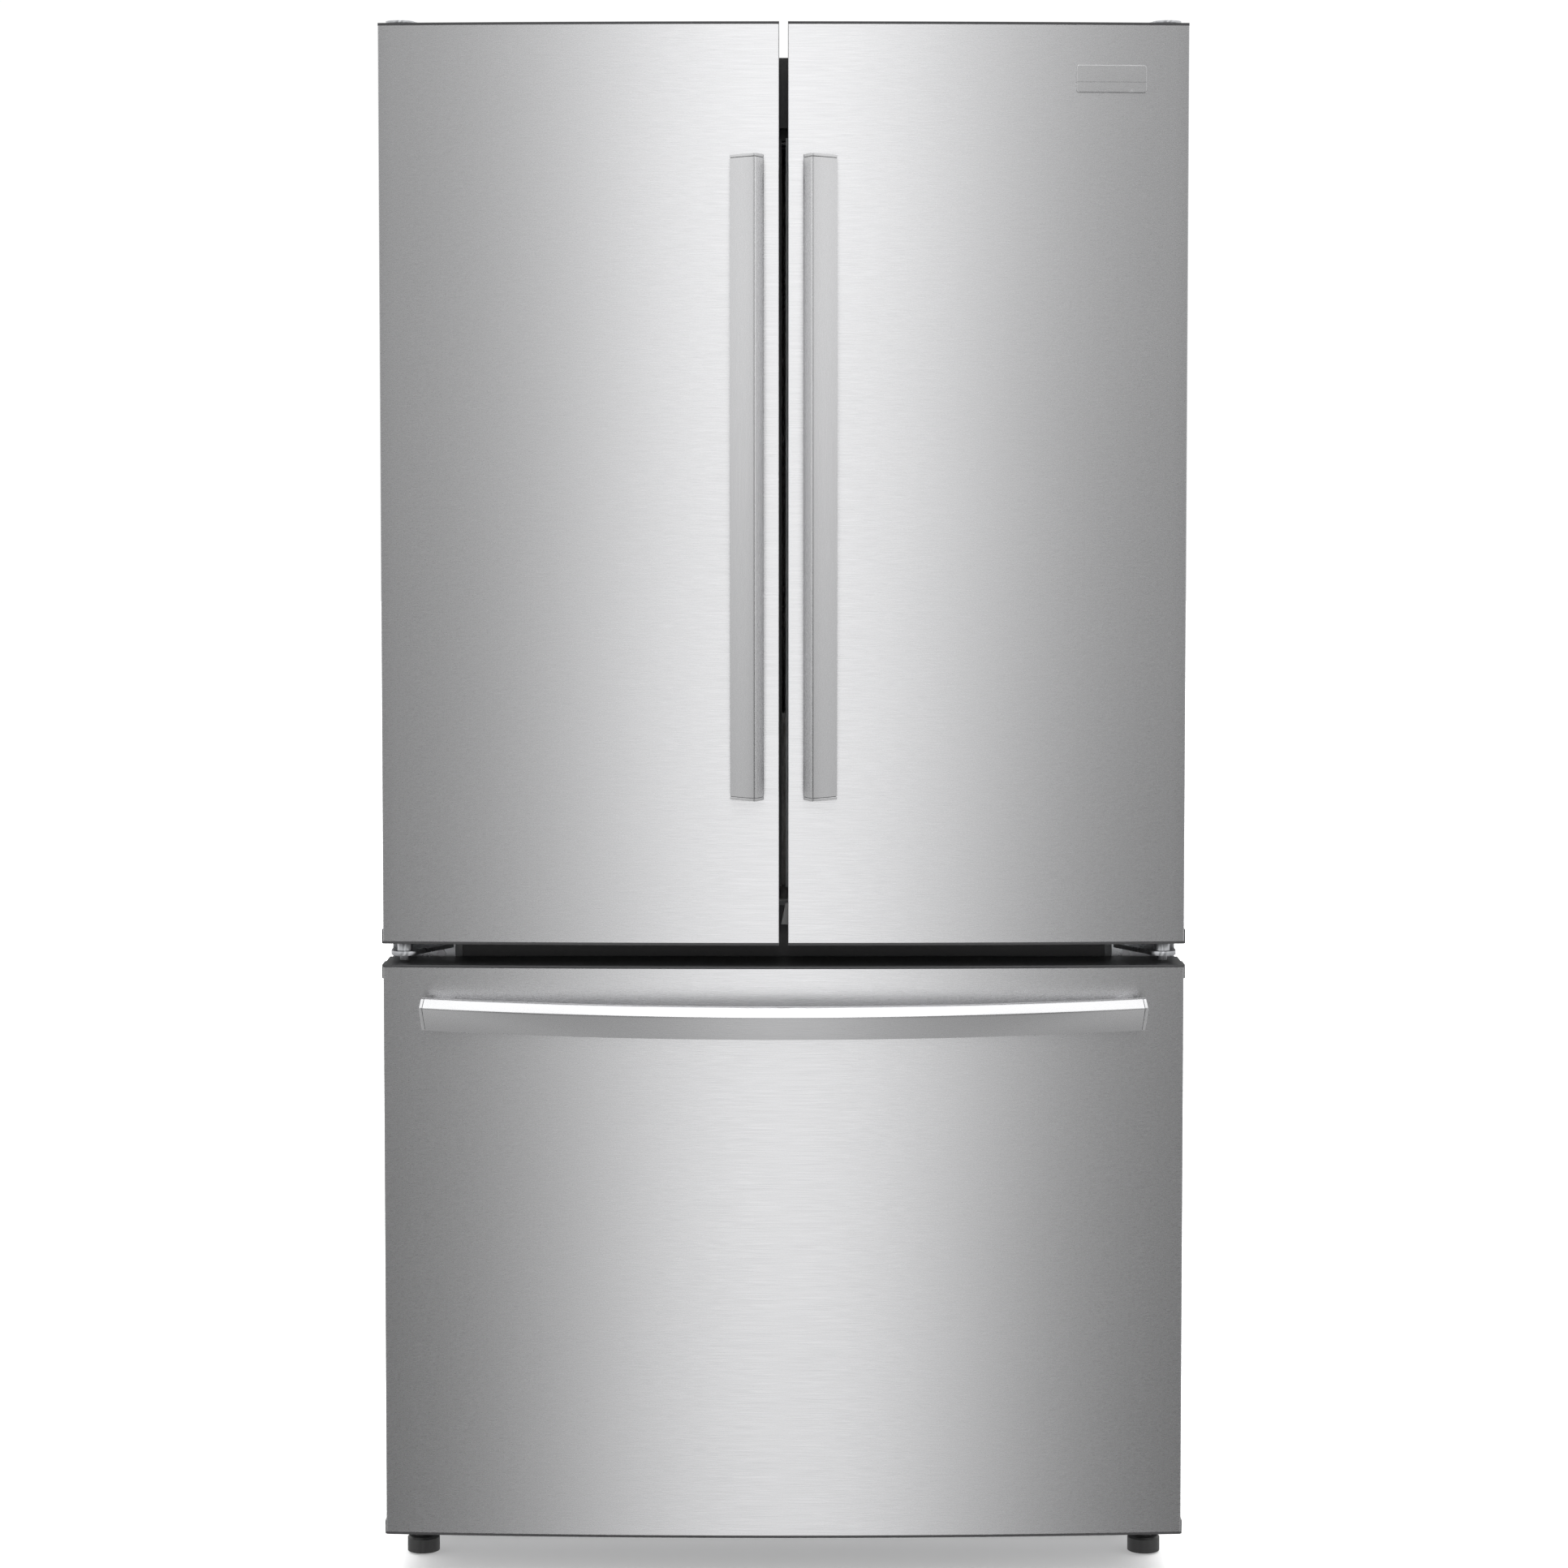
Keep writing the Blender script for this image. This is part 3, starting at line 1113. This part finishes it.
def makeLens(cfg=lampLens):
    lo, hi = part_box("ceiling_lamp_lens")
    body = stackPiece((lo.x, lo.y), (hi.x, hi.y), 0, "up", cfg["corner"], [
        (0, 0.0040), (0.0012, 0.0020), (0.0020, 0.0004)])
    parts = [body]
    step = (hi.x - lo.x - 0.024) / cfg["ribs"]
    for i in range(cfg["ribs"]):
        x = lo.x + 0.012 + (i + 0.5) * step
        rib = boxMesh((x - step * 0.42, lo.y + 0.008, 0.0055),
                      (x + step * 0.42, hi.y - 0.008, 0.0064 + cfg["ribRise"]))
        crest = [e for e in rib.edges if min(v.co.z for v in e.verts) > 0.0064
                 and abs(e.verts[0].co.y - e.verts[1].co.y) > 0.01]
        roundEdges(rib, crest, step * 0.3, 3)
        parts.append(rib)
    whole = joinMeshes(parts)
    bmesh.ops.scale(whole, vec=(1, 1, -1), verts=whole.verts)
    bmesh.ops.translate(whole, vec=(0, 0, hi.z), verts=whole.verts)
    return finishPiece(whole, "ribbed_lamp_lens", "lamp_lens", bodyOf["ceiling_lamp_lens"],
                       ["ceiling_lamp_lens"], 30)


makeLens()
print("inner fittings made")

# camera, floor and light

studio = {
    "cameraPlace": (0.0005, -4.4911, 1.2800),
    "cameraPitch": 3.148,        # degrees downwards
    "lens": 84.73,
    "shiftY": -0.075,
    "floorColor": (0.93, 0.93, 0.93),
    # the studio that the steel mirrors; each share is the sine of a direction
    "lobe": 1.58,                # the front softbox
    "lobeWidth": 0.112,
    "lobeFoot": (-0.52, -0.30, 0.30),   # where its lower end fades, and what is left there
    "low": (-0.36, -0.06),       # the grey surround, from this height and strength
    "high": (0.14, 0.36),        # to this height and strength
    "sides": (0.34, 0.60, 0.64),        # side panels: start, full, strength
    "sideEnds": (0.60, 0.90, 0.74),     # where they fade, and what is left there
    "above": (0.50, 0.85, 0.86),
    "below": (-0.70, -0.42, 0.34),
    # lamps
    "sun": 1.4,
    "floorWash": 2.1,
    "front": 25.0,
}


def makeCamera(cfg=studio):
    data = bpy.data.cameras.new("camera")
    data.sensor_width = 36
    data.lens = cfg["lens"]
    data.shift_y = cfg["shiftY"]
    camera = bpy.data.objects.new("camera", data)
    camera.location = cfg["cameraPlace"]
    camera.rotation_euler = (math.radians(90 - cfg["cameraPitch"]), 0, 0)
    bpy.context.scene.collection.objects.link(camera)
    bpy.context.scene.camera = camera


def makeFloor(cfg=studio):
    bm = bmesh.new()
    bmesh.ops.create_circle(bm, cap_ends=True, segments=96, radius=30)
    mesh = bpy.data.meshes.new("floor")
    bm.to_mesh(mesh)
    bm.free()
    floor = bpy.data.objects.new("floor", mesh)
    bpy.context.scene.collection.objects.link(floor)
    mat, _, bsdf = startMaterial("floor", cfg["floorColor"], 0.9)
    bsdf.inputs["Specular IOR Level"].default_value = 0.0
    mesh.materials.append(mat)
    floor.visible_glossy = False     # the steel mirrors the studio, not the floor
    return floor


def areaLight(name, place, aim, size, power):
    data = bpy.data.lights.new(name, "AREA")
    data.shape = "RECTANGLE"
    data.size, data.size_y = size
    data.energy = power
    lamp = bpy.data.objects.new(name, data)
    lamp.location = place
    lamp.rotation_euler = (Vector(aim) - Vector(place)).to_track_quat("-Z", "Y").to_euler()
    lamp.visible_glossy = False
    bpy.context.scene.collection.objects.link(lamp)


def mathNode(tree, operation, one, other=None):
    node = tree.nodes.new("ShaderNodeMath")
    node.operation = operation
    for socket, value in zip(node.inputs, (one, other)):
        if value is None:
            continue
        if isinstance(value, (int, float)):
            socket.default_value = value
        else:
            tree.links.new(value, socket)
    return node.outputs[0]


def rangeNode(tree, value, fromLow, fromHigh, low, high, kind="SMOOTHSTEP"):
    node = tree.nodes.new("ShaderNodeMapRange")
    node.interpolation_type = kind
    for socket, number in (("From Min", fromLow), ("From Max", fromHigh), ("To Min", low), ("To Max", high)):
        node.inputs[socket].default_value = number
    tree.links.new(value, node.inputs["Value"])
    return node.outputs["Result"]


def makeWorld(cfg=studio):
    # a softbox behind the viewer, a surround that fades downwards, and panels at both sides and above
    world = bpy.data.worlds.new("studio")
    world.use_nodes = True
    tree = world.node_tree
    background = next(n for n in tree.nodes if n.type == "BACKGROUND")
    output = next(n for n in tree.nodes if n.type == "OUTPUT_WORLD")
    coord = tree.nodes.new("ShaderNodeTexCoord")
    parts = tree.nodes.new("ShaderNodeSeparateXYZ")
    tree.links.new(coord.outputs["Generated"], parts.inputs[0])
    x, y, z = parts.outputs
    across = mathNode(tree, "DIVIDE", x, cfg["lobeWidth"])
    squared = mathNode(tree, "MULTIPLY", across, across)
    bell = mathNode(tree, "EXPONENT", mathNode(tree, "MULTIPLY", squared, -1.0))
    ahead = rangeNode(tree, y, -0.2, 0.0, cfg["lobe"], 0.0)
    footFrom, footTo, footLeft = cfg["lobeFoot"]
    lobe = mathNode(tree, "MULTIPLY", mathNode(tree, "MULTIPLY", bell, ahead),
                    rangeNode(tree, z, footFrom, footTo, footLeft, 1.0))
    (lowAt, low), (highAt, high) = cfg["low"], cfg["high"]
    surround = mathNode(tree, "MAXIMUM", rangeNode(tree, z, lowAt, highAt, low, high, "LINEAR"), 0.0)
    sideFrom, sideTo, sides = cfg["sides"]
    endFrom, endTo, endLeft = cfg["sideEnds"]
    outwards = mathNode(tree, "ABSOLUTE", x)
    aside = mathNode(tree, "MULTIPLY", rangeNode(tree, outwards, sideFrom, sideTo, 0.0, sides),
                     rangeNode(tree, outwards, endFrom, endTo, 1.0, endLeft))
    aboveFrom, aboveTo, above = cfg["above"]
    overhead = rangeNode(tree, z, aboveFrom, aboveTo, 0.0, above)
    belowFrom, belowTo, below = cfg["below"]
    floorGlow = rangeNode(tree, z, belowFrom, belowTo, below, 0.0)
    total = lobe
    for part in (surround, aside, overhead, floorGlow):
        total = mathNode(tree, "ADD", total, part)
    tree.links.new(total, background.inputs["Strength"])
    background.inputs["Color"].default_value = (1, 1, 1, 1)
    plain = tree.nodes.new("ShaderNodeBackground")
    plain.inputs["Color"].default_value = (1, 1, 1, 1)
    plain.inputs["Strength"].default_value = 1.02
    path = tree.nodes.new("ShaderNodeLightPath")
    mix = tree.nodes.new("ShaderNodeMixShader")
    tree.links.new(path.outputs["Is Camera Ray"], mix.inputs["Fac"])
    tree.links.new(background.outputs[0], mix.inputs[1])
    tree.links.new(plain.outputs[0], mix.inputs[2])
    tree.links.new(mix.outputs[0], output.inputs["Surface"])
    bpy.context.scene.world = world


def softSun(name, power, onlyOn=None):
    data = bpy.data.lights.new(name, "SUN")
    data.energy = power
    data.angle = math.radians(70)
    lamp = bpy.data.objects.new(name, data)
    lamp.rotation_euler = (math.radians(-18), 0, 0)
    lamp.visible_glossy = False
    bpy.context.scene.collection.objects.link(lamp)
    if onlyOn:
        data.use_shadow = False
        group = bpy.data.collections.new(name)
        group.objects.link(onlyOn)
        lamp.light_linking.receiver_collection = group


makeCamera()
floor = makeFloor()
makeWorld()
softSun("high_soft_light", studio["sun"])
softSun("floor_wash", studio["floorWash"], floor)
areaLight("front_panel", (0, -5.5, 2.2), (0, 0, 0.9), (4.0, 3.0), studio["front"])
scene = bpy.context.scene
scene.view_settings.view_transform = "Standard"
scene.view_settings.look = "None"
scene.view_settings.exposure = 0
scene.view_settings.gamma = 1
print("studio set")
